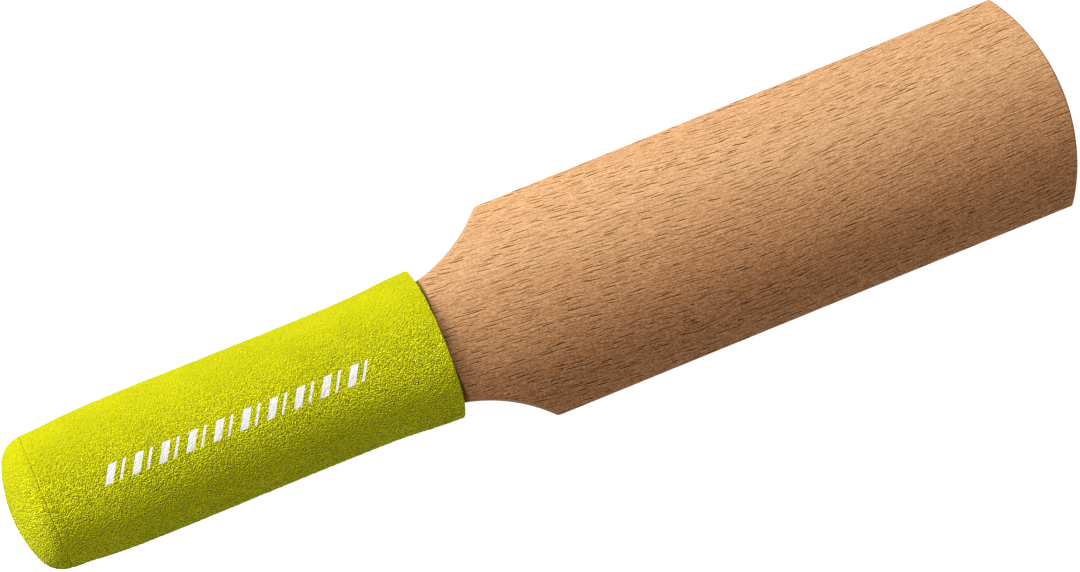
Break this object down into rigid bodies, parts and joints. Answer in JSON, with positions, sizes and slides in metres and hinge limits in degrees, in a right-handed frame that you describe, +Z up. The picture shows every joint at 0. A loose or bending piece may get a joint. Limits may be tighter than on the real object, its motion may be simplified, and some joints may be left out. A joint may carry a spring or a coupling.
{
  "type": "potter's paddle",
  "caption": "Hand-held clay paddle: flat-backed wooden blade with a rounded face and curved end, turned neck, and a thick foam grip with a closed butt.",
  "frame": {"origin": "on the bench under the middle of the tool's outline, as it rests on the grip's mouth and the blade tip's back edge", "axes": "+X along the tool from the grip's butt to the blade's tip, +Z up out of the blade's rounded face, +Y across the blade"},
  "size_m": [0.289, 0.0574, 0.0479],
  "materials": {
    "beech": "fine-sanded beech with short dark pores, oiled satin",
    "grip_foam": "matte lime-yellow foam rubber with a fine pebbled skin"
  },
  "bodies": {
    "root": {"wood_paddle": "beech", "grip_sleeve": "grip_foam", "grip_end_cap": "grip_foam"}
  },
  "joints": []
}
